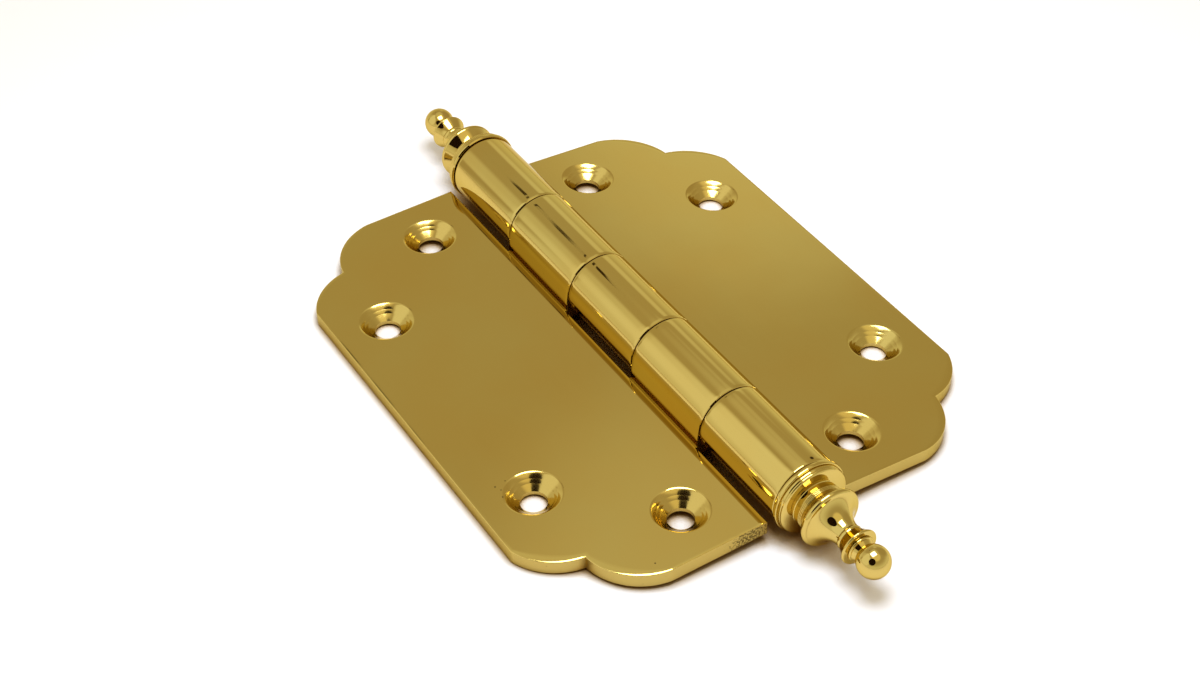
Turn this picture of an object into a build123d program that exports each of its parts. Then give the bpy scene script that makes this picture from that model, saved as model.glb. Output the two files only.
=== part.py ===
from build123d import *
from math import asin, cos, degrees, radians, sin, sqrt
import os

os.makedirs("parts", exist_ok=True)

# A solid brass butt hinge, lying open on a table with its countersinks up.
# The barrel runs along Y, the table is z = 0, and the leaves reach out along -X and +X.
# All sizes are in millimetres.

# Leaves
leaf_length = 110.0  # along the barrel, as long as the knuckles together
leaf_width = 48.0  # from the barrel's axis to the long outer edge
leaf_thickness = 3.0
cusp = (38.1, 44.5)  # where the two lobes of each outer corner meet
lobe_radius = 12.2
end_lobe_start = 27.5  # where the end edge turns into the first lobe
side_lobe_end = 36.4  # where the second lobe meets the long edge
face_round = 0.7  # edges that the buffing wheel rolled over

# Barrel
barrel_radius = 7.0
knuckle_count = 5
knuckle_play = 0.16  # between one knuckle and the next
knuckle_chamfer = 0.25
face_drop = 2.5  # the leaf's face lies this far below the axis
leaf_inner_edge = 8.0  # cut back here, to let the other leaf's knuckles turn
cheek_reach = 7.4  # a knuckle's flat cheek comes down to the leaf's face here
root_groove_depth = 0.8

# Screw holes, as (distance from the axis, distance from the middle of the barrel)
screw_places = [(18.7, 44.5), (37.8, 27.0)]
screw_hole_radius = 2.5
countersink_radius = 5.2
countersink_angle = 100.0

# Pin and the tapped ends of the barrel
pin_radius = 3.5
pin_clearance = 0.05
pin_end_play = 0.3
pin_chamfer = 0.5
stud_radius = 4.0
stud_length = 8.0
stud_chamfer = 0.6
tapping_clearance = 0.02
tapping_depth = 8.6
tapping_chamfer = 0.3

# Turned ball tip, as (radius, distance from the end of the barrel)
seat = (6.6, 0.0)
collar_crest, collar_foot = (7.35, 0.835), (6.95, 1.55)
step_crest, step_foot = (6.9, 2.2), (6.2, 2.95)
cove_floor, cove_foot = (5.1, 3.1), (4.6, 3.6)
ring_count = 3  # fine rings on the neck
ring_width = 0.28
ring_gap = 0.12
ring_height = 0.13
flare_bulge, flare_edge = (5.35, 5.5), (5.8, 6.35)
bell_rim, bell_shoulder = (5.95, 6.85), (5.35, 7.45)
waist = (2.4, 11.9)
bead_crest, tulip_foot = (2.6, 12.4), (2.45, 12.8)
tulip_rim, tulip_top = (3.6, 14.6), (2.5, 15.6)
tip_ring_crest, tip_ring_foot = (2.6, 15.85), (2.2, 16.0)
ball_radius = 3.05
ball_place = 18.75
ball_neck = 1.7

# The two collars and both outer edges touch the table, so the leaves slope a little
axis_height = collar_crest[0]
slope = degrees(asin((axis_height - face_drop - leaf_thickness) / leaf_width))
barrel_axis = Axis((0, 0, axis_height), (0, 1, 0))
knuckle_pitch = leaf_length / knuckle_count


def build_leaf(side, knuckles):
    """One leaf and its knuckles. Side is -1 or +1, and knuckle 0 is the one at the far end."""
    outward = (side * cos(radians(slope)), 0, -sin(radians(slope)))
    upward = (side * sin(radians(slope)), 0, cos(radians(slope)))
    leaf_plane = Plane(origin=(0, 0, axis_height), x_dir=outward, z_dir=upward)
    half_length = leaf_length / 2

    with BuildPart() as leaf:
        # Flat plate, blanked with two lobes at each outer corner
        with BuildSketch(leaf_plane.offset(-face_drop - leaf_thickness)):
            with BuildLine():
                Line((leaf_inner_edge, half_length), (end_lobe_start, half_length))
                RadiusArc((end_lobe_start, half_length), cusp, lobe_radius)
                RadiusArc(cusp, (leaf_width, side_lobe_end), lobe_radius)
                mirror(about=Plane.XZ)
                Line((leaf_inner_edge, -half_length), (leaf_inner_edge, half_length))
                Line((leaf_width, -side_lobe_end), (leaf_width, side_lobe_end))
            make_face()
        extrude(amount=leaf_thickness)
        face = leaf.faces().sort_by(Axis((0, 0, 0), upward))[-1]
        fillet(face.edges().sort_by(Axis((0, 0, 0), outward))[1:], face_round)

        # Knuckles, each a tube with a flat cheek, and a groove between the cheek and the plate
        groove_floor = -face_drop - root_groove_depth
        for number in knuckles:
            far_face = half_length - number * knuckle_pitch
            near_face = far_face - knuckle_pitch
            if number > 0:
                far_face -= knuckle_play / 2
            if number < knuckle_count - 1:
                near_face += knuckle_play / 2
            middle = (0, (far_face + near_face) / 2, axis_height)
            across_barrel = Plane(origin=middle, x_dir=outward, z_dir=-leaf_plane.y_dir)
            with BuildSketch(across_barrel):
                Circle(barrel_radius)
            extrude(amount=(far_face - near_face) / 2, both=True)
            rims = leaf.edges(Select.LAST).filter_by(GeomType.CIRCLE)
            chamfer(rims, knuckle_chamfer)
            with BuildSketch(across_barrel):
                with BuildLine():
                    Polyline(
                        (0, 0),
                        (barrel_radius, 0),
                        (cheek_reach, -face_drop),
                        (cheek_reach, groove_floor),
                        (leaf_inner_edge, groove_floor),
                        (leaf_inner_edge, -face_drop - leaf_thickness),
                        (0, -face_drop - leaf_thickness),
                        close=True,
                    )
                make_face()
            extrude(amount=(far_face - near_face) / 2, both=True)

        # Bore for the pin, right through
        with Locations(Plane(origin=barrel_axis.position, z_dir=barrel_axis.direction)):
            Hole(pin_radius + pin_clearance)

        # Countersunk screw holes
        with Locations(leaf_plane.offset(-face_drop)):
            with Locations(*[(x, y * end) for x, y in screw_places for end in (-1, 1)]):
                CounterSinkHole(screw_hole_radius, countersink_radius, counter_sink_angle=countersink_angle)
    return leaf


left_leaf = build_leaf(-1, knuckles=(1, 3))
left_leaf.part.label = "left_leaf"
export_step(left_leaf.part, "parts/left_leaf.step")

# The right leaf has the end knuckles, which are tapped for the ball tips
right_leaf = build_leaf(1, knuckles=(0, 2, 4))
with right_leaf:
    for end in (-1, 1):
        mouth = Plane(origin=(0, end * leaf_length / 2, axis_height), z_dir=(0, end, 0))
        with Locations(mouth):
            Hole(stud_radius + tapping_clearance, depth=tapping_depth)
            Cone(
                bottom_radius=stud_radius + tapping_clearance,
                top_radius=stud_radius + tapping_clearance + tapping_chamfer,
                height=tapping_chamfer,
                align=(Align.CENTER, Align.CENTER, Align.MAX),
                mode=Mode.SUBTRACT,
            )
right_leaf.part.label = "right_leaf"
export_step(right_leaf.part, "parts/right_leaf.step")

# Steel pin, held between the studs of the two ball tips
with BuildPart() as hinge_pin:
    with BuildSketch(Plane(origin=barrel_axis.position, z_dir=barrel_axis.direction)):
        Circle(pin_radius)
    extrude(amount=leaf_length / 2 - stud_length - pin_end_play, both=True)
    chamfer(hinge_pin.edges(), pin_chamfer)
hinge_pin.part.label = "hinge_pin"
export_step(hinge_pin.part, "parts/hinge_pin.step")


def build_finial(end):
    """A turned ball tip and its stud. End is +1 at the far end of the barrel and -1 at the near end."""
    lathe = Plane(origin=(0, end * leaf_length / 2, axis_height), x_dir=(end, 0, 0), z_dir=(0, 0, 1))
    with BuildPart() as finial:
        with BuildSketch(lathe):
            with BuildLine():
                # Stud and the flat that closes on the end of the barrel
                stud_end = -stud_length
                Line((0, 0), (0, stud_end))
                Line((0, stud_end), (stud_radius - stud_chamfer, stud_end))
                Line((stud_radius - stud_chamfer, stud_end), (stud_radius, stud_end + stud_chamfer))
                Line((stud_radius, stud_end + stud_chamfer), (stud_radius, 0))
                Line((stud_radius, 0), seat)
                # Collar, with a rolled step beside it
                ThreePointArc(seat, collar_crest, collar_foot)
                ThreePointArc(collar_foot, step_crest, step_foot)
                # Cove down to a neck with fine rings
                ThreePointArc(step_foot, cove_floor, cove_foot)
                neck_radius, ring_start = cove_foot
                for ring in range(ring_count):
                    ring_end = ring_start + ring_width
                    crest = (neck_radius + ring_height, ring_start + ring_width / 2)
                    ThreePointArc((neck_radius, ring_start), crest, (neck_radius, ring_end))
                    Line((neck_radius, ring_end), (neck_radius, ring_end + ring_gap))
                    ring_start = ring_end + ring_gap
                # Bell with a bulging back, a rolled rim and an ogee down to the waist
                ThreePointArc((neck_radius, ring_start), flare_bulge, flare_edge)
                ThreePointArc(flare_edge, bell_rim, bell_shoulder)
                drop, run = bell_shoulder[0] - waist[0], waist[1] - bell_shoulder[1]
                RadiusArc(bell_shoulder, waist, -(drop ** 2 + run ** 2) / (2 * drop))
                # Bead, tulip, one more ring, and the ball
                ThreePointArc(waist, bead_crest, tulip_foot)
                ThreePointArc(tulip_foot, tulip_rim, tulip_top)
                ThreePointArc(tulip_top, tip_ring_crest, tip_ring_foot)
                ball_start = (ball_neck, ball_place - sqrt(ball_radius ** 2 - ball_neck ** 2))
                ball_top = (0, ball_place + ball_radius)
                Line(tip_ring_foot, ball_start)
                ThreePointArc(ball_start, (ball_radius, ball_place), ball_top)
                Line(ball_top, (0, 0))
            make_face()
        revolve(axis=Axis(lathe.origin, lathe.y_dir))
    return finial


far_finial = build_finial(1)
far_finial.part.label = "far_finial"
export_step(far_finial.part, "parts/far_finial.step")

near_finial = build_finial(-1)
near_finial.part.label = "near_finial"
export_step(near_finial.part, "parts/near_finial.step")
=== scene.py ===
from math import asin, atan2, cos, pi, radians, sin, sqrt, tan

import bmesh
import bpy
from mathutils import Matrix, Vector, noise


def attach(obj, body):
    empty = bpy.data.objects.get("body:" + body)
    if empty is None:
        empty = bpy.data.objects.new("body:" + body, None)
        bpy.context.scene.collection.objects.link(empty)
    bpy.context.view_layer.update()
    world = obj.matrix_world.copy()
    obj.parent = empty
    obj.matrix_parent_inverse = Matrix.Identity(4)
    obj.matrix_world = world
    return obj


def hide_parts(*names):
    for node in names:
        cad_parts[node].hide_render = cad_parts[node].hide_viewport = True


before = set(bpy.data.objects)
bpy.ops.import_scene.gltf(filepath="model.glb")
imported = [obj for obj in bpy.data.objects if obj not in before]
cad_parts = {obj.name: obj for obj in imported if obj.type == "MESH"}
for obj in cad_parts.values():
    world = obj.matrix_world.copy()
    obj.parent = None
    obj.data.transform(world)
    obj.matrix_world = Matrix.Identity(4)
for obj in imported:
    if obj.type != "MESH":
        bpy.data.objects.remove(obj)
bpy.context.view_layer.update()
mm = 0.001


# The two leaves
# Each is a 3 mm brass plate with two lobes at its outer corners, in one piece with its knuckles, and a
# slot milled beside the barrel. The whole leaf is buffed bright, which rolls its edges over.
leaf_length = 110
leaf_width = 48
leaf_thickness = 3
cusp = (38.1, 44.5)  # where the two lobes of a corner meet, as (out from the barrel, along it)
lobe_radius = 12.2
end_lobe_start = 27.5
side_lobe_end = 36.4
straight_roll = 0.55  # how far in the buffing wheel rolled the edge over
lobe_roll = 1.3
cusp_roll = 0.9
edge_turn = 0.16  # radius of the tight turn at the end of the roll
edge_fall = 12  # degrees that the face has fallen away by there
back_round = 0.25
roll_sway = 0.12  # share by which the width of the rolled edge wanders
burr_end = 19.0  # the burrs on the left leaf's near edge run from the barrel out to here
burr_sway = 0.3  # share by which they make it wander more

axis_height = 7.35  # the hinge rests on the collars of its ball tips
face_drop = 2.5  # from the barrel's axis down to the leaf's face
slope = asin((axis_height - face_drop - leaf_thickness) / leaf_width)

knuckle_count = 5
knuckle_play = 0.16
barrel_radius = 7
bore_radius = 3.55
leaf_inner_edge = 8.0
inner_roll = 0.5
cheek_top = (6.9375, 0.933)  # the flat cheek leaves the barrel here, as (out from the axis, up from it)
cheek_reach = 7.4
root_groove_depth = 0.8
knuckle_pitch = leaf_length / knuckle_count

screw_places = [(18.7, 44.5), (37.8, 27.0)]
screw_hole_radius = 2.5
countersink_radius = 5.2
countersink_half_angle = radians(50)

nicks = [  # small dark marks, as (place, radius)
    ((-42.5, -22.1, 3.2), 0.16), ((-42.0, -23.3, 3.2), 0.13), ((-42.6, -24.9, 3.2), 0.15),
    ((-40.3, -21.8, 3.3), 0.12), ((-29.0, -52.2, 3.7), 0.16), ((1.4, -54.0, 14.2), 0.38),
]
stain_place = (-11.5, -55, 2.2)


def arc_points(start, end, radius, steps):
    """Points along an arc that bulges to the right of its way, without the last point."""
    chord = Vector(end) - Vector(start)
    middle = (Vector(start) + Vector(end)) / 2
    left = Vector((-chord.y, chord.x)).normalized()
    centre = middle + left * sqrt(radius ** 2 - (chord.length / 2) ** 2)
    first = atan2(start[1] - centre.y, start[0] - centre.x)
    turn = 2 * asin(chord.length / 2 / radius)
    angles = [first + turn * step / steps for step in range(steps)]
    return [(centre.x + radius * cos(a), centre.y + radius * sin(a)) for a in angles]


def straight_points(start, end, steps):
    """Points along a line, without its last point."""
    return [tuple(Vector(start).lerp(Vector(end), step / steps)) for step in range(steps)]


def leaf_outline(burred):
    """The leaf seen from above, anticlockwise, as (point, width of the rolled edge) pairs."""
    half = leaf_length / 2
    to_cusp = arc_points((end_lobe_start, -half), (cusp[0], -cusp[1]), lobe_radius, 28)
    to_side = arc_points((cusp[0], -cusp[1]), (leaf_width, -side_lobe_end), lobe_radius, 24)
    lobes = []
    for points, first, last in (
        (to_cusp, straight_roll, cusp_roll),
        (to_side, cusp_roll, straight_roll),
    ):
        for step, point in enumerate(points):
            share = step / len(points)
            swell = (lobe_roll - straight_roll) * sin(pi * share)
            lobes.append((point, first + (last - first) * share + swell))
    after_corner = (leaf_inner_edge + 1, -half)
    end_edge = straight_points(after_corner, (end_lobe_start, -half), 80)
    near_half = [(point, straight_roll) for point in end_edge] + lobes
    far_half = [((point[0], -point[1]), roll) for point, roll in reversed(near_half)]
    side_edge = straight_points((leaf_width, -side_lobe_end), (leaf_width, side_lobe_end), 24)
    side_edge.append((leaf_width, side_lobe_end))
    inner_edge = straight_points((leaf_inner_edge, half), (leaf_inner_edge, -half), 60)
    inner_edge.append((leaf_inner_edge, -half))
    outline = near_half + [(point, straight_roll) for point in side_edge] + far_half
    outline += [(point, inner_roll) for point in inner_edge]

    # The hand on the buffing wheel was never quite even, and one corner kept the burrs of the saw
    finished = []
    for (u, v), roll in outline:
        roll *= 1 + roll_sway * noise.noise(Vector((u / 9, v / 9, 4.2)))
        if burred and v < 1 - half and u < burr_end:
            fade = min(1, (burr_end - u) / 3)
            roll *= 1 + burr_sway * fade * noise.noise(Vector((u, 7.7, 1.3)))
        finished.append(((u, v), roll))
    return finished


def leaf_frame(side):
    """The leaf's own axes: out from the barrel, along it, and up through the plate."""
    out = Vector((side * cos(slope), 0, -sin(slope)))
    up = Vector((side * sin(slope), 0, cos(slope)))
    turn = Matrix((out, Vector((0, 1, 0)), up)).transposed().to_4x4()
    return Matrix.Translation((0, 0, axis_height * mm)) @ turn @ Matrix.Scale(mm, 4)


def new_piece(name, mesh_builder, matrix):
    """Makes a piece out of a mesh, and turns, scales and moves it to its place on the hinge."""
    bmesh.ops.transform(mesh_builder, matrix=matrix, verts=mesh_builder.verts)
    bmesh.ops.recalc_face_normals(mesh_builder, faces=mesh_builder.faces)
    mesh = bpy.data.meshes.new(name)
    mesh_builder.to_mesh(mesh)
    mesh_builder.free()
    piece = bpy.data.objects.new(name, mesh)
    bpy.context.scene.collection.objects.link(piece)
    return piece


def inward_ways(points):
    """For each point of an anticlockwise outline, the way in, long enough to keep an even distance."""
    ways = []
    for here, point in enumerate(points):
        before = (point - points[here - 1]).normalized()
        after = (points[(here + 1) % len(points)] - point).normalized()
        square_on = [Vector((-way.y, way.x)) for way in (before, after)]
        both = (square_on[0] + square_on[1]).normalized()
        ways.append(both / max(both.dot(square_on[0]), 0.5))  # held back at very sharp corners
    return ways


def close_rings(builder, grid):
    """Faces between one ring of vertices and the next, and over both ends."""
    for low, high in zip(grid, grid[1:]):
        for i in range(len(low)):
            j = (i + 1) % len(low)
            builder.faces.new((low[i], low[j], high[j], high[i]))
    builder.faces.new(list(reversed(grid[0])))
    builder.faces.new(grid[-1])


def plate(outline):
    """The plate with its rolled face edge and its lightly rounded back edge, in millimetres."""
    points = [Vector(point) for point, roll in outline]
    inward = inward_ways(points)
    face = -face_drop
    back = face - leaf_thickness
    back_steps = 4
    rings = []
    for step in range(back_steps + 1):
        angle = radians(90) * (1 - step / back_steps)
        inset, height = back_round * (1 - cos(angle)), back + back_round * (1 - sin(angle))
        rings.append([(inset, height) for point in points])

    # Up the side, a tight turn, and then a slope that flattens out where it meets the face
    slope_end = radians(edge_fall)
    fall = tan(slope_end)
    widths = [roll - edge_turn * (1 - sin(slope_end)) for point, roll in outline]
    for tilt in (90, 78, 66, 54, 42, 32, 22, edge_fall):
        angle = radians(tilt)
        inset, lift = edge_turn * (1 - sin(angle)), edge_turn * (cos(angle) - cos(slope_end))
        rings.append([(inset, face - fall * width / 2 + lift) for width in widths])
    for share in (0.75, 0.5, 0.25, 0):
        rings.append([
            (roll - width * share, face - fall * width * share ** 2 / 2)
            for (point, roll), width in zip(outline, widths)
        ])

    builder = bmesh.new()
    grid = []
    for ring in rings:
        grid.append([
            builder.verts.new((*(point + way * inset), height))
            for point, way, (inset, height) in zip(points, inward, ring)
        ])
    close_rings(builder, grid)
    return builder


def turned(profile, segments, origin, along, across):
    """A closed turned form: the profile's (radius, place) points spun round an axis, with flat ends."""
    builder = bmesh.new()
    third = along.cross(across)
    rings = []
    for radius, place in profile:
        ring = []
        for step in range(segments):
            angle = 2 * pi * step / segments
            offset = across * cos(angle) + third * sin(angle)
            ring.append(builder.verts.new(origin + along * place + offset * radius))
        rings.append(ring)
    close_rings(builder, rings)
    return builder


def knuckle(near_face, far_face):
    """A knuckle: a round barrel with a flat cheek, a groove beside it, and a foot in the plate."""
    foot_top = -face_drop - root_groove_depth
    foot_bottom = 0.02 - face_drop - leaf_thickness  # just inside the plate's back
    foot_reach = leaf_inner_edge + 0.7  # well into the plate
    first = atan2(cheek_top[1], cheek_top[0])
    last = 2 * pi - asin(-foot_bottom / barrel_radius)
    steps = 220
    angles = [first + (last - first) * step / steps for step in range(steps + 1)]
    section = [Vector((barrel_radius * cos(a), barrel_radius * sin(a))) for a in angles]
    section += [Vector((foot_reach, foot_bottom)), Vector((foot_reach, foot_top))]
    section += [Vector((cheek_reach, foot_top)), Vector((cheek_reach, -face_drop))]

    # Each end is eased a little and dips towards the seam, as (distance from the end, dip)
    ease = [(0, 0.34), (0.06, 0.15), (0.17, 0.05), (0.36, 0.015), (0.8, 0.004), (2.2, 0)]
    rings = [(near_face + place, drop) for place, drop in ease]
    rings += [(far_face - place, drop) for place, drop in reversed(ease)]
    inward = inward_ways(section)
    builder = bmesh.new()
    grid = []
    for place, drop in rings:
        ring = [point + way * drop for point, way in zip(section, inward)]
        grid.append([builder.verts.new((point.x, place, point.y)) for point in ring])
    close_rings(builder, grid)
    return builder


def countersink_profile():
    """A cutter for one screw hole, from under the plate to above it, with two fine turning lines."""
    face = -face_drop
    slant = countersink_radius - screw_hole_radius
    depth = slant / tan(countersink_half_angle)
    reach_below, reach_above = 1, 0.5
    line_places, line_half_width, line_depth = (0.42, 0.66), 0.012, 0.009
    rim_depth = 0.16
    rim_round = [(-0.045, 0.075), (0.075, 0.022), (0.20, 0)]  # (out from the cone's edge, below the face)

    profile = [(screw_hole_radius, face - leaf_thickness - reach_below), (screw_hole_radius, face - depth)]
    for line in line_places:
        for share, cut in ((line - line_half_width, 0), (line, line_depth), (line + line_half_width, 0)):
            profile.append((screw_hole_radius + slant * share + cut, face - depth * (1 - share)))
    profile.append((countersink_radius - rim_depth * tan(countersink_half_angle), face - rim_depth))
    for out, drop in rim_round:
        profile.append((countersink_radius + out, face - drop))
    profile.append((profile[-1][0], face + reach_above))
    return profile


def cut_or_join(piece, tool, operation):
    """Joins another solid to the piece, or cuts it out of the piece."""
    step = piece.modifiers.new(operation, "BOOLEAN")
    step.operation = operation
    step.solver = "EXACT"
    step.object = tool
    bpy.context.view_layer.update()
    worked = bpy.data.meshes.new_from_object(piece.evaluated_get(bpy.context.evaluated_depsgraph_get()))
    piece.modifiers.clear()
    piece.data = worked
    bpy.data.objects.remove(tool)


def merge_slivers(piece, distance):
    """Merges points that the cuts left nearly on top of each other, and the slivers between them."""
    builder = bmesh.new()
    builder.from_mesh(piece.data)
    bmesh.ops.remove_doubles(builder, verts=builder.verts, dist=distance)
    bmesh.ops.triangulate(builder, faces=[face for face in builder.faces if len(face.verts) > 4])
    bmesh.ops.dissolve_degenerate(builder, edges=builder.edges, dist=distance)
    builder.to_mesh(piece.data)
    builder.free()


def smooth_surfaces(piece, crease):
    """Shades the piece smooth between its real edges, and lets big faces keep their direction."""
    piece.data.shade_smooth()
    piece.data.set_sharp_from_angle(angle=crease)
    weighted = piece.modifiers.new("true_faces", "WEIGHTED_NORMAL")
    weighted.keep_sharp = True
    weighted.weight = 100


def keep_flat(piece, up):
    """Ends the smooth shading at the borders of the plate's face and back, which are truly flat."""
    nearly_one = 0.99999
    builder = bmesh.new()
    builder.from_mesh(piece.data)
    flat = []
    for face in builder.faces:
        beside_barrel = abs(face.calc_center_median().x) > cheek_reach * mm
        flat.append(beside_barrel and abs(face.normal.dot(up)) > nearly_one)
    for edge in builder.edges:
        if len({flat[face.index] for face in edge.link_faces}) == 2:
            edge.smooth = False
    builder.to_mesh(piece.data)
    builder.free()


def make_leaf(name, side, knuckles):
    """One leaf with its knuckles, bore and countersunk holes."""
    matrix = leaf_frame(side)
    leaf = new_piece(name, plate(leaf_outline(burred=side == -1)), matrix)
    for number in knuckles:
        far_face = leaf_length / 2 - number * knuckle_pitch
        near_face = far_face - knuckle_pitch
        if number > 0:
            far_face -= knuckle_play / 2
        if number < knuckle_count - 1:
            near_face += knuckle_play / 2
        cut_or_join(leaf, new_piece("knuckle", knuckle(near_face, far_face), matrix), "UNION")
    ends = [(bore_radius, -leaf_length), (bore_radius, leaf_length)]
    bore = turned(ends, 96, Vector((0, 0, 0)), Vector((0, 1, 0)), Vector((0, 0, 1)))
    cut_or_join(leaf, new_piece("bore", bore, matrix), "DIFFERENCE")
    for u, v in screw_places:
        for end in (-1, 1):
            place = Vector((u, v * end, 0))
            drill = turned(countersink_profile(), 120, place, Vector((0, 0, 1)), Vector((1, 0, 0)))
            cut_or_join(leaf, new_piece("drill", drill, matrix), "DIFFERENCE")
    merge_slivers(leaf, 0.004 * mm)
    smooth_surfaces(leaf, radians(24))
    keep_flat(leaf, matrix.col[2].to_3d().normalized())
    return leaf


def ramp_between(nodes, links, value, low, high, at_low, at_high, easing="LINEAR"):
    """An output that goes from one number to another while the given one goes from low to high."""
    step = nodes.new("ShaderNodeMapRange")
    step.interpolation_type = easing
    step.inputs["From Min"].default_value = low
    step.inputs["From Max"].default_value = high
    step.inputs["To Min"].default_value = at_low
    step.inputs["To Max"].default_value = at_high
    links.new(value, step.inputs["Value"])
    return step.outputs["Result"]


def arithmetic(nodes, links, operation, *values):
    """An output worked out from other outputs and plain numbers."""
    step = nodes.new("ShaderNodeMath")
    step.operation = operation
    for value, socket in zip(values, step.inputs):
        if isinstance(value, float):
            socket.default_value = value
        else:
            links.new(value, socket)
    return step.outputs["Value"]


def painted(nodes, links, below, colour, share):
    """The colour so far, painted over with another one by a share from 0 to 1."""
    mix = nodes.new("ShaderNodeMix")
    mix.data_type = "RGBA"
    mix.inputs["B"].default_value = (*colour, 1)
    links.new(share, mix.inputs["Factor"])
    links.new(below, mix.inputs["A"])
    return mix.outputs["Result"]


def polished_brass(name, buffing, roughness, ripple):
    """Lacquered brass: its colour drifts a little, fine scratches follow the way it was polished, and
    shade is painted into its seams and grooves.
    """
    material = bpy.data.materials.new(name)
    material.use_nodes = True
    nodes, links = material.node_tree.nodes, material.node_tree.links
    shader = nodes["Principled BSDF"]
    shader.inputs["Metallic"].default_value = 1
    shader.inputs["Specular Tint"].default_value = (0.78, 0.70, 0.48, 1)
    place = nodes.new("ShaderNodeTexCoord")

    # Colour, from a warmer to a greener yellow in broad patches
    patches = nodes.new("ShaderNodeTexNoise")
    patches.inputs["Scale"].default_value = 38
    patches.inputs["Detail"].default_value = 3
    links.new(place.outputs["Object"], patches.inputs["Vector"])
    tint = nodes.new("ShaderNodeValToRGB")
    tint.color_ramp.elements[0].position = 0.35
    tint.color_ramp.elements[0].color = (0.60, 0.425, 0.108, 1)
    tint.color_ramp.elements[1].position = 0.65
    tint.color_ramp.elements[1].color = (0.60, 0.450, 0.125, 1)
    links.new(patches.outputs["Fac"], tint.inputs["Fac"])

    # Painted shade in seams and grooves: the colour turns dark brown where the surface is closely hemmed
    # in
    nooks = nodes.new("ShaderNodeAmbientOcclusion")
    nooks.samples = 6
    nooks.inputs["Distance"].default_value = 0.8 * mm
    painted_groove_shade = ramp_between(nodes, links, nooks.outputs["AO"], 0.10, 0.42, 1, 0)
    surface = painted(nodes, links, tint.outputs["Color"], (0.16, 0.085, 0.02), painted_groove_shade)
    links.new(surface, shader.inputs["Base Color"])

    # Scratches, drawn out along the polishing, and a soft ripple under them
    stretch = nodes.new("ShaderNodeMapping")
    stretch.inputs["Scale"].default_value = buffing
    links.new(place.outputs["Object"], stretch.inputs["Vector"])
    scratches = nodes.new("ShaderNodeTexNoise")
    scratches.inputs["Scale"].default_value = 1000
    scratches.inputs["Detail"].default_value = 4
    links.new(stretch.outputs["Vector"], scratches.inputs["Vector"])
    shine = ramp_between(nodes, links, scratches.outputs["Fac"], 0.35, 0.75, *roughness)
    links.new(shine, shader.inputs["Roughness"])
    hand = nodes.new("ShaderNodeTexNoise")
    hand.inputs["Scale"].default_value = 70
    hand.inputs["Detail"].default_value = 1
    links.new(place.outputs["Object"], hand.inputs["Vector"])
    soft = nodes.new("ShaderNodeBump")
    soft.inputs["Strength"].default_value = 1
    soft.inputs["Distance"].default_value = ripple * mm
    links.new(hand.outputs["Fac"], soft.inputs["Height"])
    fine = nodes.new("ShaderNodeBump")
    fine.inputs["Strength"].default_value = 0.35
    fine.inputs["Distance"].default_value = 0.002 * mm
    links.new(scratches.outputs["Fac"], fine.inputs["Height"])
    links.new(soft.outputs["Normal"], fine.inputs["Normal"])
    links.new(fine.outputs["Normal"], shader.inputs["Normal"])
    return material


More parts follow.
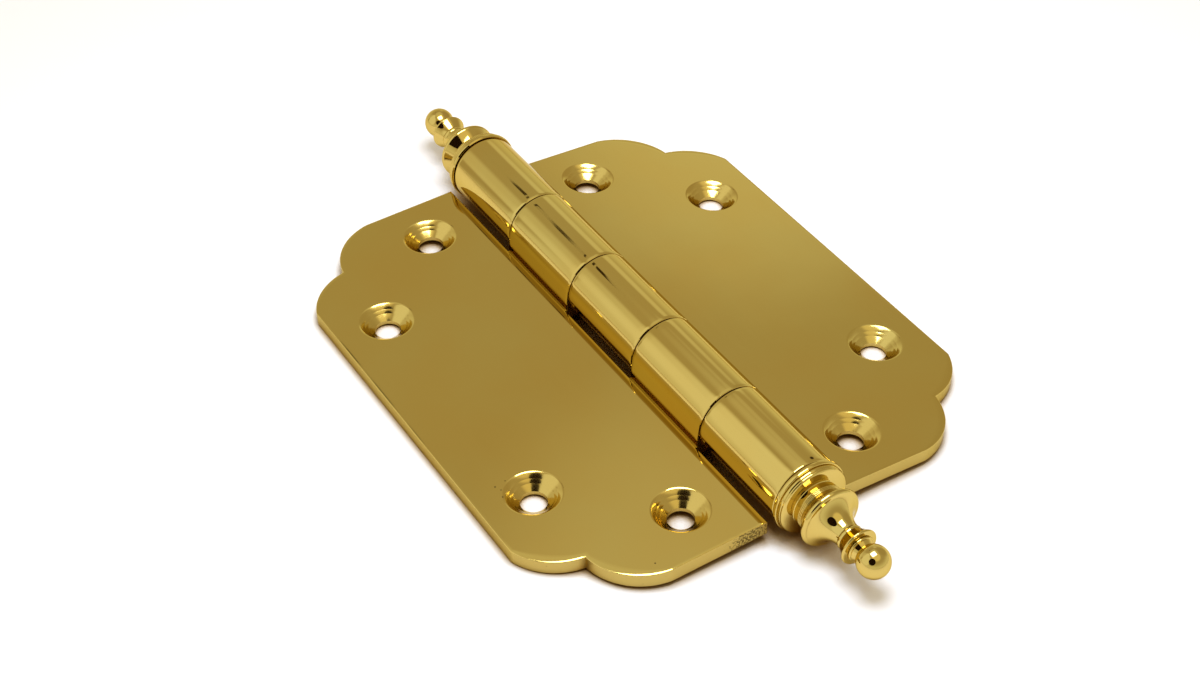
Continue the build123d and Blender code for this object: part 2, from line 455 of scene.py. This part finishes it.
def sheared_edges(material, edge_roughness):
    """Makes the plate's sides and countersinks duller than its face, paints shade on its steep sides as
    darker brass, and adds nicks and a stain.
    """
    nodes, links = material.node_tree.nodes, material.node_tree.links
    shader = nodes["Principled BSDF"]
    place = nodes.new("ShaderNodeTexCoord")

    def distance_to(point):
        step = nodes.new("ShaderNodeVectorMath")
        step.operation = "DISTANCE"
        step.inputs[1].default_value = [number * mm for number in point]
        links.new(place.outputs["Object"], step.inputs[0])
        return step.outputs["Value"]

    # Duller where the surface turns away from the leaf's face, outside the barrel
    lean = nodes.new("ShaderNodeSeparateXYZ")
    links.new(place.outputs["Normal"], lean.inputs["Vector"])
    countersunk = ramp_between(nodes, links, lean.outputs["Z"], 0.88, 0.995, edge_roughness / 2, 0)
    sideways = ramp_between(nodes, links, lean.outputs["Z"], 0.1, 0.6, edge_roughness / 2, 0)
    turned_away = arithmetic(nodes, links, "ADD", countersunk, sideways)
    across = nodes.new("ShaderNodeVectorMath")
    across.operation = "MULTIPLY"
    across.inputs[1].default_value = (1, 0, 1)
    links.new(place.outputs["Object"], across.inputs[0])
    from_axis = nodes.new("ShaderNodeVectorMath")
    from_axis.operation = "DISTANCE"
    from_axis.inputs[1].default_value = (0, 0, axis_height * mm)
    links.new(across.outputs["Vector"], from_axis.inputs[0])
    in_plate = ramp_between(nodes, links, from_axis.outputs["Value"], 8.5 * mm, 9.5 * mm, 0, 1)
    dull = arithmetic(nodes, links, "MULTIPLY", turned_away, in_plate)
    polished = shader.inputs["Roughness"].links[0].from_socket
    links.new(arithmetic(nodes, links, "MAXIMUM", polished, dull), shader.inputs["Roughness"])

    # The stain at the sawn corner, mostly on the plate's side, and the small dark nicks
    rough_patch = nodes.new("ShaderNodeTexNoise")
    rough_patch.inputs["Scale"].default_value = 2600
    rough_patch.inputs["Detail"].default_value = 3
    links.new(place.outputs["Object"], rough_patch.inputs["Vector"])
    stain_reach = ramp_between(nodes, links, distance_to(stain_place), 1.5 * mm, 7 * mm, 0.16, -0.12)
    stain_side = ramp_between(nodes, links, lean.outputs["Z"], 0.3, 0.9, 0.85, 0)
    stained = arithmetic(nodes, links, "ADD", rough_patch.outputs["Fac"], stain_reach)
    stained = ramp_between(nodes, links, stained, 0.58, 0.68, 0, 1)
    marks = arithmetic(nodes, links, "MULTIPLY", stained, stain_side)
    for point, radius in nicks:
        mark = ramp_between(nodes, links, distance_to(point), 0.6 * radius * mm, 1.2 * radius * mm, 1, 0)
        marks = arithmetic(nodes, links, "MAXIMUM", marks, mark)
    # Painted shade: the steep sides of the plate and the walls of its holes are coloured a darker brass
    painted_side_shade = ramp_between(nodes, links, dull, 0.5 * edge_roughness, edge_roughness, 0, 0.5)
    surface = shader.inputs["Base Color"].links[0].from_socket
    surface = painted(nodes, links, surface, (0.40, 0.29, 0.08), painted_side_shade)
    surface = painted(nodes, links, surface, (0.05, 0.025, 0.008), marks)
    links.new(surface, shader.inputs["Base Color"])


leaf_brass = polished_brass("leaf_brass", buffing=(1, 0.06, 1), roughness=(0.02, 0.07), ripple=0.02)
sheared_edges(leaf_brass, edge_roughness=0.3)
for name, side, body, knuckles in (
    ("left_leaf", -1, "left_side", (1, 3)),
    ("right_leaf", 1, "right_side", (0, 2, 4)),
):
    leaf = make_leaf(name + "_brass", side, knuckles)
    leaf.data.materials.append(leaf_brass)
    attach(leaf, body)
    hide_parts(name)


# The hinge pin
# A length of drawn steel rod through all five knuckles, held between the studs of the two ball tips.
# The barrel hides nearly all of it. It keeps the grey, drawn surface of the rod.
pin_steel = bpy.data.materials.new("pin_steel")
pin_steel.use_nodes = True
nodes, links = pin_steel.node_tree.nodes, pin_steel.node_tree.links
shader = nodes["Principled BSDF"]
shader.inputs["Metallic"].default_value = 1
place = nodes.new("ShaderNodeTexCoord")
stretch = nodes.new("ShaderNodeMapping")
stretch.inputs["Scale"].default_value = (1, 0.02, 1)
drawing_lines = nodes.new("ShaderNodeTexNoise")
drawing_lines.inputs["Scale"].default_value = 3000
drawing_lines.inputs["Detail"].default_value = 3
grey = nodes.new("ShaderNodeValToRGB")
grey.color_ramp.elements[0].color = (0.30, 0.30, 0.31, 1)
grey.color_ramp.elements[1].color = (0.55, 0.55, 0.56, 1)
lines = nodes.new("ShaderNodeBump")
lines.inputs["Strength"].default_value = 0.5
lines.inputs["Distance"].default_value = 0.01 * mm
links.new(place.outputs["Object"], stretch.inputs["Vector"])
links.new(stretch.outputs["Vector"], drawing_lines.inputs["Vector"])
links.new(drawing_lines.outputs["Fac"], grey.inputs["Fac"])
links.new(grey.outputs["Color"], shader.inputs["Base Color"])
dull = ramp_between(nodes, links, drawing_lines.outputs["Fac"], 0, 1, 0.25, 0.45)
links.new(dull, shader.inputs["Roughness"])
links.new(drawing_lines.outputs["Fac"], lines.inputs["Height"])
links.new(lines.outputs["Normal"], shader.inputs["Normal"])
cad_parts["hinge_pin"].data.materials.clear()
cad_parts["hinge_pin"].data.materials.append(pin_steel)


# The two ball tips
# Each is turned in one piece from brass bar, with a stud that screws into the end of the barrel.
# From the barrel out: a rounded collar, a deep cove, a neck with fine rings, a bell, a tulip and a ball.
def arc_through(start, middle, end, steps):
    """Points of the arc through three points, without its last point."""
    (ax, ay), (bx, by), (cx, cy) = start, middle, end
    spread = 2 * (ax * (by - cy) + bx * (cy - ay) + cx * (ay - by))
    a, b, c = ax * ax + ay * ay, bx * bx + by * by, cx * cx + cy * cy
    centre = Vector((
        (a * (by - cy) + b * (cy - ay) + c * (ay - by)) / spread,
        (a * (cx - bx) + b * (ax - cx) + c * (bx - ax)) / spread,
    ))
    radius = (Vector(start) - centre).length
    first, through, last = (atan2(y - centre.y, x - centre.x) for x, y in (start, middle, end))
    turn = (last - first) % (2 * pi)
    if (through - first) % (2 * pi) > turn:
        turn -= 2 * pi
    angles = [first + turn * step / steps for step in range(steps)]
    return [(centre.x + radius * cos(angle), centre.y + radius * sin(angle)) for angle in angles]


def ball_tip_profile():
    """The tip from its stud to the top of the ball, as (radius, distance from the barrel's end)."""
    stud_radius, stud_length, stud_chamfer = 4, 8, 0.6
    seat, collar_back, collar_edge = (6.6, 0), (6.6, 0.22), (7.14, 0.24)
    collar_shoulder, collar_crest, collar_front = (7.32, 0.44), (axis_height, 0.76), (7.32, 1.08)
    collar_fall, collar_foot = (7.26, 1.18), (7.1, 1.215)
    band_foot, band_crest, band_front = (6.92, 1.22), (7.0, 1.58), (6.88, 1.93)
    step_crest, step_front = (6.9, 2.2), (6.66, 2.45)
    shoulder_edge, shoulder_foot = (6.5, 2.55), (4.72, 2.72)
    neck_radius, neck_start, neck_ring_start = 4.6, 2.82, 3.9
    ring_count, ring_width, ring_gap, ring_height = 3, 0.24, 0.06, 0.09
    flare_foot, flare_edge = (4.6, 4.78), (5.73, 6.3)
    bell_rim, bell_shoulder = (5.98, 6.8), (5.35, 7.45)
    waist = (2.4, 11.9)
    bead_crest, tulip_foot = (2.55, 12.35), (2.5, 12.7)
    tulip_side, tulip_rim, tulip_lip = (3.48, 14.55), (3.6, 14.85), (3.4, 15.08)
    tulip_face, tip_ring_crest, tip_ring_foot = (2.5, 15.15), (2.62, 15.45), (2.3, 15.7)
    ball_radius, ball_place, ball_neck = 3.05, 18.75, 1.9
    ball_top_flat = 0.01  # too small to see, and it closes the form

    profile = [(stud_radius - stud_chamfer, -stud_length), (stud_radius, stud_chamfer - stud_length)]
    profile += [(stud_radius, 0), seat, collar_back, collar_edge]
    profile += arc_through(collar_shoulder, collar_crest, collar_front, 14)
    profile += arc_through(collar_front, collar_fall, collar_foot, 8)
    profile += arc_through(band_foot, band_crest, band_front, 14)
    profile += arc_through(band_front, step_crest, step_front, 12)
    profile += [step_front, shoulder_edge, shoulder_foot, (neck_radius, neck_start)]
    ring_start = neck_ring_start
    for ring in range(ring_count):
        ring_end = (neck_radius, ring_start + ring_width)
        crest = (neck_radius + ring_height, ring_start + ring_width / 2)
        profile += arc_through((neck_radius, ring_start), crest, ring_end, 10)
        profile.append(ring_end)
        ring_start += ring_width + ring_gap
    profile.append(flare_foot)
    profile += arc_through(flare_edge, bell_rim, bell_shoulder, 22)
    drop, run = bell_shoulder[0] - waist[0], waist[1] - bell_shoulder[1]
    hollow = (drop ** 2 + run ** 2) / (2 * drop)
    for step in range(40):
        place = bell_shoulder[1] + run * step / 40
        profile.append((waist[0] + hollow - sqrt(hollow ** 2 - (waist[1] - place) ** 2), place))
    profile += arc_through(waist, bead_crest, tulip_foot, 10)
    profile.append(tulip_foot)
    profile += arc_through(tulip_side, tulip_rim, tulip_lip, 16)
    profile.append(tulip_lip)
    profile += arc_through(tulip_face, tip_ring_crest, tip_ring_foot, 8)
    profile.append(tip_ring_foot)
    ball_start = asin(ball_neck / ball_radius)
    for step in range(48):
        angle = ball_start + (pi - ball_start) * step / 48
        profile.append((ball_radius * sin(angle), ball_place - ball_radius * cos(angle)))
    profile.append((ball_top_flat, ball_place + ball_radius))
    return profile


turned_brass = polished_brass("turned_brass", buffing=(1, 8, 1), roughness=(0.03, 0.08), ripple=0.006)
for name, end in (("far_finial", 1), ("near_finial", -1)):
    seat_centre = Vector((0, end * leaf_length / 2, axis_height))
    tip = turned(ball_tip_profile(), 160, seat_centre, Vector((0, end, 0)), Vector((0, 0, 1)))
    tip = new_piece(name + "_brass", tip, Matrix.Scale(mm, 4))
    smooth_surfaces(tip, radians(30))
    tip.data.materials.append(turned_brass)
    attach(tip, "right_side")
    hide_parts(name)


# The table
# A sheet of plain white board, which runs on past the edges of the view. Close under the hinge, and in the
# slots beside the barrel, it is painted with a brown shadow.
bpy.ops.mesh.primitive_plane_add(size=6, location=(0, 0, 0))
table = bpy.context.object
table.name = "table"
white_board = bpy.data.materials.new("white_board")
white_board.use_nodes = True
nodes, links = white_board.node_tree.nodes, white_board.node_tree.links
shader = nodes["Principled BSDF"]
shader.inputs["Roughness"].default_value = 0.9
shader.inputs["Specular IOR Level"].default_value = 0.1
shade = nodes.new("ShaderNodeAmbientOcclusion")
shade.samples = 8
shade.inputs["Distance"].default_value = 6 * mm
# Painted shadow: the board turns brown where the hinge closes over it
painted_shadow = nodes.new("ShaderNodeValToRGB")
painted_shadow.color_ramp.elements[0].position = 0.25
painted_shadow.color_ramp.elements[0].color = (0.22, 0.10, 0.02, 1)
painted_shadow.color_ramp.elements[1].position = 0.64
painted_shadow.color_ramp.elements[1].color = (0.91, 0.86, 0.85, 1)
painted_shadow_middle = painted_shadow.color_ramp.elements.new(0.48)
painted_shadow_middle.color = (0.58, 0.40, 0.19, 1)
links.new(shade.outputs["AO"], painted_shadow.inputs["Fac"])
links.new(painted_shadow.outputs["Color"], shader.inputs["Base Color"])
table.data.materials.append(white_board)


# The studio
# A white tent round the table, brightest to the left and low down, dim high up and dark on the right,
# with one strong soft light overhead in a glowing roof, and a black card beside the camera.
def direction(azimuth, elevation):
    """A unit vector: azimuth from +Y towards +X, elevation up from the table, in degrees."""
    turn, lift = radians(azimuth), radians(elevation)
    return Vector((sin(turn) * cos(lift), cos(turn) * cos(lift), sin(lift)))


world = bpy.data.worlds.new("tent")
bpy.context.scene.world = world
world.use_nodes = True
nodes, links = world.node_tree.nodes, world.node_tree.links
place = nodes.new("ShaderNodeTexCoord")


def along(way):
    """How far the looked-at direction goes along a unit vector."""
    dot = nodes.new("ShaderNodeVectorMath")
    dot.operation = "DOT_PRODUCT"
    dot.inputs[1].default_value = way
    links.new(place.outputs["Generated"], dot.inputs[0])
    return dot.outputs["Value"]


def eased(value, low, high, at_low=0, at_high=1):
    """One number up to low and another from high on, with a soft change between them."""
    return ramp_between(nodes, links, value, low, high, at_low, at_high, "SMOOTHSTEP")


def patch(azimuth, elevation, inner, outer):
    """1 inside a round patch of the tent and 0 outside it, with its edge from inner to outer degrees."""
    return eased(along(direction(azimuth, elevation)), cos(radians(outer)), cos(radians(inner)))


def window(azimuth, elevation, half_width, half_height, edge):
    """1 inside an upright rectangle on the tent, sized in degrees, and 0 outside its soft edge."""
    ahead = direction(azimuth, elevation)
    sideways = direction(azimuth + 90, 0)
    upright = sideways.cross(ahead)
    depth = along(ahead)
    inside = arithmetic(nodes, links, "GREATER_THAN", depth, 0.1)
    for way, reach in ((sideways, half_width), (upright, half_height)):
        offset = arithmetic(nodes, links, "DIVIDE", along(way), depth)
        offset = arithmetic(nodes, links, "ABSOLUTE", offset)
        limit = tan(radians(reach))
        within = eased(offset, limit * (1 + edge), limit * (1 - edge))
        inside = arithmetic(nodes, links, "MULTIPLY", inside, within)
    return inside


def blend(below, above, share):
    """A number so far, changed to another one by a share."""
    mix = nodes.new("ShaderNodeMix")
    links.new(share, mix.inputs["Factor"])
    links.new(below, mix.inputs["A"])
    mix.inputs["B"].default_value = above
    return mix.outputs["Result"]


# Brightness from 0 to 1: the walls from the dim top down to the table, then lighter and darker parts
upward = along(Vector((0, 0, 1)))
brightness = eased(upward, sin(radians(38)), sin(radians(3)), 0.10, 0.66)
for level, azimuth, elevation, inner, outer in (
    (0.02, 80, 32, 12, 34),  # the dark side, to the right
    (0.60, 40, 29.5, 1, 9),  # a light wall and a dimmer part above it, which the right leaf mirrors
    (0.34, 33, 51, 1, 7.5),
    (0.50, 25, 76, 17, 28),  # the glowing roof
    (0.47, -42, 30, 10, 22),  # the left side, brightest high up and far round
    (0.90, -50, 50, 8, 17),
    (0.88, -75, 30, 24, 34),
):
    brightness = blend(brightness, level, patch(azimuth, elevation, inner, outer))
dark_gap = window(-42, 9, 3.8, 8, 0.4)
brightness = blend(brightness, 0.08, dark_gap)
tone = nodes.new("ShaderNodeValToRGB")
tone.color_ramp.elements[0].color = (0.52, 0.445, 0.29, 1)
tone.color_ramp.elements[1].color = (1.16, 1.20, 1.22, 1)
middle = tone.color_ramp.elements.new(0.55)
middle.color = (0.86, 0.85, 0.74, 1)
links.new(brightness, tone.inputs["Fac"])

# A warmer roof towards the camera, and three short dark seams that show as dashes along the barrel
colour = painted(nodes, links, tone.outputs["Color"], (1.05, 0.95, 0.65), patch(180, 74, 20, 32))
for azimuth, elevation, half_width, half_height in (
    (2, 46.5, 3.5, 0.38),
    (0, 47.95, 3.5, 0.42),
    (-2, 49.45, 3, 0.34),
):
    seam = window(azimuth, elevation, half_width, half_height, 0.3)
    colour = painted(nodes, links, colour, (0.05, 0.03, 0.01), seam)
links.new(colour, nodes["Background"].inputs["Color"])

# The soft light overhead
softbox = bpy.data.lights.new("softbox", "AREA")
softbox.shape = "RECTANGLE"
softbox.size = 0.175
softbox.size_y = 0.16
softbox.energy = 0.92
softbox.color = (0.88, 1.0, 1.2)
softbox_object = bpy.data.objects.new("softbox", softbox)
softbox_object.location = (-0.007, -0.028, 0.33)
softbox_object.visible_camera = False
bpy.context.scene.collection.objects.link(softbox_object)

# The black card, behind the camera and a little to its left, which the ball tips mirror as a dark spot
card_place = Vector((-0.245, -0.235, 0.275))
bpy.ops.mesh.primitive_circle_add(vertices=48, radius=0.16, fill_type="NGON", location=card_place)
dark_card = bpy.context.object
dark_card.name = "dark_card"
dark_card.rotation_euler = card_place.to_track_quat("Z", "Y").to_euler()
dark_card.visible_camera = False
black_felt = bpy.data.materials.new("black_felt")
black_felt.use_nodes = True
shader = black_felt.node_tree.nodes["Principled BSDF"]
shader.inputs["Base Color"].default_value = (0.02, 0.01, 0.005, 1)
shader.inputs["Roughness"].default_value = 1
shader.inputs["Specular IOR Level"].default_value = 0
dark_card.data.materials.append(black_felt)


# The camera
# It looks down on the hinge from the near left, as in the photograph.
camera_aim = (-8.218, -2.248, axis_height)  # millimetres
camera_distance = 381.34
camera_yaw, camera_pitch, camera_roll = 0.5771, 0.7172, 0.0155
forward = Vector((
    sin(camera_yaw) * cos(camera_pitch),
    cos(camera_yaw) * cos(camera_pitch),
    -sin(camera_pitch),
))
level_right = Vector((cos(camera_yaw), -sin(camera_yaw), 0))
level_up = level_right.cross(forward)
right = level_right * cos(camera_roll) + level_up * sin(camera_roll)
up = level_up * cos(camera_roll) - level_right * sin(camera_roll)
camera_data = bpy.data.cameras.new("camera")
camera_data.sensor_width = 36
camera_data.lens = 61.48
camera = bpy.data.objects.new("camera", camera_data)
turn = Matrix((right, up, -forward)).transposed().to_4x4()
camera.matrix_world = Matrix.Translation((Vector(camera_aim) - forward * camera_distance) * mm) @ turn
bpy.context.scene.collection.objects.link(camera)
bpy.context.scene.camera = camera
bpy.context.scene.view_settings.view_transform = "Standard"
